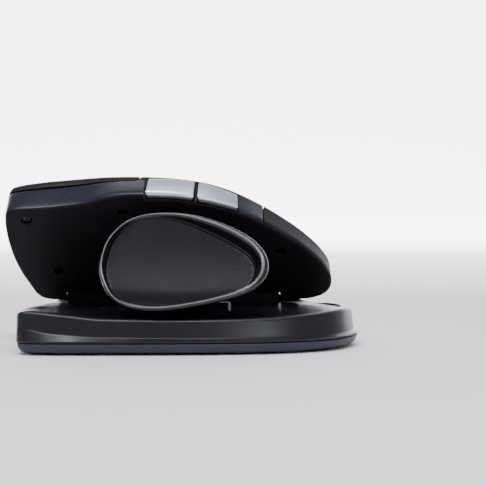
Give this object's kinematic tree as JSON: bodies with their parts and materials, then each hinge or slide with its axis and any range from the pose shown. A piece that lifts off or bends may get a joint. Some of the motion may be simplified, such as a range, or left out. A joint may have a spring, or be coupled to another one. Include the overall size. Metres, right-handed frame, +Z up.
{
  "type": "adjustable vertical mouse",
  "caption": "Ergonomic computer mouse: a hinged body tilted up from a flat oval-ended base, with a dished thumb rest, thumb buttons, keys and a scroll wheel.",
  "frame": {"origin": "middle of the bounding box on the desk plane", "axes": "+X from the front (finger end) to the rear (palm end), +Y from the thumb side to the little-finger side, +Z up"},
  "size_m": [0.1219, 0.0781, 0.058],
  "materials": {
    "slate_plastic": "fine matt moulded plastic, dark slate grey",
    "soft_plastic": "soft-touch near-black plastic",
    "black_plastic": "satin charcoal moulded plastic",
    "rubber": "moulded rubber, dotted on the thumb pad and ribbed on the wheel",
    "silver_paint": "satin silver paint over plastic",
    "steel": "plated steel",
    "foot_plastic": "slippery low-friction sheet",
    "board": "green circuit board",
    "chip_plastic": "black component plastic",
    "white_plastic": "natural white acetal",
    "clear_plastic": "clear moulded plastic",
    "cell": "foil pouch cell"
  },
  "bodies": {
    "base": {"base_top_shell": "black_plastic", "base_bottom_cover": "black_plastic", "foot_front_thumb": "foot_plastic", "foot_front_far": "foot_plastic", "foot_rear_thumb": "foot_plastic", "foot_rear_far": "foot_plastic", "base_screw_1": "steel", "base_screw_2": "steel", "base_screw_3": "steel", "base_screw_4": "steel", "base_top_screw_1": "steel", "base_top_screw_2": "steel", "sensor_board": "board", "optical_sensor": "chip_plastic", "sensor_lens": "clear_plastic", "power_switch": "steel", "hinge_bracket_front": "black_plastic", "hinge_bracket_rear": "black_plastic", "hinge_pin": "steel", "hinge_cap_front": "black_plastic", "hinge_cap_rear": "black_plastic", "hinge_washer_front": "steel", "hinge_washer_rear": "steel"},
    "power_knob": {"power_slider": "silver_paint"},
    "mouse_body": {"front_shell": "slate_plastic", "rear_palm_cover": "soft_plastic", "underside_cover": "soft_plastic", "underside_screw_1": "steel", "underside_screw_2": "steel", "underside_screw_3": "steel", "underside_screw_4": "steel", "hinge_barrel": "black_plastic", "main_board": "board", "left_switch": "chip_plastic", "right_switch": "chip_plastic", "front_side_switch": "chip_plastic", "rear_side_switch": "chip_plastic", "mode_switch": "chip_plastic", "wheel_click_switch": "chip_plastic", "wheel_encoder": "chip_plastic", "battery_cell": "cell", "charging_socket": "steel", "light_window": "clear_plastic", "thumb_rail": "black_plastic"},
    "left_key_body": {"left_key": "slate_plastic"},
    "right_key_body": {"right_key": "slate_plastic"},
    "wheel_carrier": {"wheel_cradle": "white_plastic"},
    "scroll_wheel": {"wheel_hub": "silver_paint", "wheel_tyre": "rubber"},
    "front_side_button_body": {"front_side_button": "silver_paint"},
    "rear_side_button_body": {"rear_side_button": "silver_paint"},
    "mode_button_body": {"mode_button": "silver_paint"},
    "carriage": {"thumb_carriage": "black_plastic"},
    "arm": {"thumb_arm": "black_plastic"},
    "rest": {"thumb_rest": "black_plastic", "thumb_pad": "rubber", "swivel_screw": "steel"}
  },
  "joints": [
    {"name": "body_tilt", "type": "hinge", "parent": "base", "child": "mouse_body", "pos_m": [-0.003, 0.0308, 0.01733], "axis": [-1, 0, 0], "range_deg": [0, 28]},
    {"name": "left_key_press", "type": "hinge", "parent": "mouse_body", "child": "left_key_body", "pos_m": [-0.0102, 0.00875, 0.05427], "axis": [0, -0.7431, 0.6691], "range_deg": [0, 0.9], "stiffness_Nm_per_rad": 1.5, "springref_deg": -0.23},
    {"name": "right_key_press", "type": "hinge", "parent": "mouse_body", "child": "right_key_body", "pos_m": [-0.0102, 0.02845, 0.03653], "axis": [0, -0.7431, 0.6691], "range_deg": [0, 0.9], "stiffness_Nm_per_rad": 1.5, "springref_deg": -0.23},
    {"name": "wheel_click", "type": "slide", "parent": "mouse_body", "child": "wheel_carrier", "axis": [0, -0.6691, -0.7431], "range_m": [0, 0.0004], "stiffness_N_per_m": 1500, "springref_m": -0.0001},
    {"name": "wheel_spin", "type": "hinge", "parent": "wheel_carrier", "child": "scroll_wheel", "pos_m": [-0.0385, 0.01418, 0.04131], "axis": [0, -0.7431, 0.6691], "continuous": true},
    {"name": "front_side_button_press", "type": "slide", "parent": "mouse_body", "child": "front_side_button_body", "axis": [0, 0.7431, -0.6691], "range_m": [0, 0.0008], "stiffness_N_per_m": 900, "springref_m": -0.0001},
    {"name": "rear_side_button_press", "type": "slide", "parent": "mouse_body", "child": "rear_side_button_body", "axis": [0, 0.7431, -0.6691], "range_m": [0, 0.0008], "stiffness_N_per_m": 900, "springref_m": -0.0001},
    {"name": "mode_button_press", "type": "slide", "parent": "mouse_body", "child": "mode_button_body", "axis": [0, -0.6691, -0.7431], "range_m": [0, 0.0006], "stiffness_N_per_m": 900, "springref_m": -0.0001},
    {"name": "thumb_carriage_slide", "type": "slide", "parent": "mouse_body", "child": "carriage", "axis": [0, -0.7431, 0.6691], "range_m": [0, 0.006]},
    {"name": "thumb_arm_yaw", "type": "hinge", "parent": "carriage", "child": "arm", "pos_m": [0.002, -0.00236, 0.02848], "axis": [0, 0.6691, 0.7431], "range_deg": [-6, 6]},
    {"name": "thumb_rest_swivel", "type": "hinge", "parent": "arm", "child": "rest", "pos_m": [0.002, -0.01282, 0.0239], "axis": [0, -0.891, 0.454], "range_deg": [-6, 6]},
    {"name": "power_switch_slide", "type": "slide", "parent": "base", "child": "power_knob", "axis": [1, 0, 0], "range_m": [0, 0.003]}
  ]
}
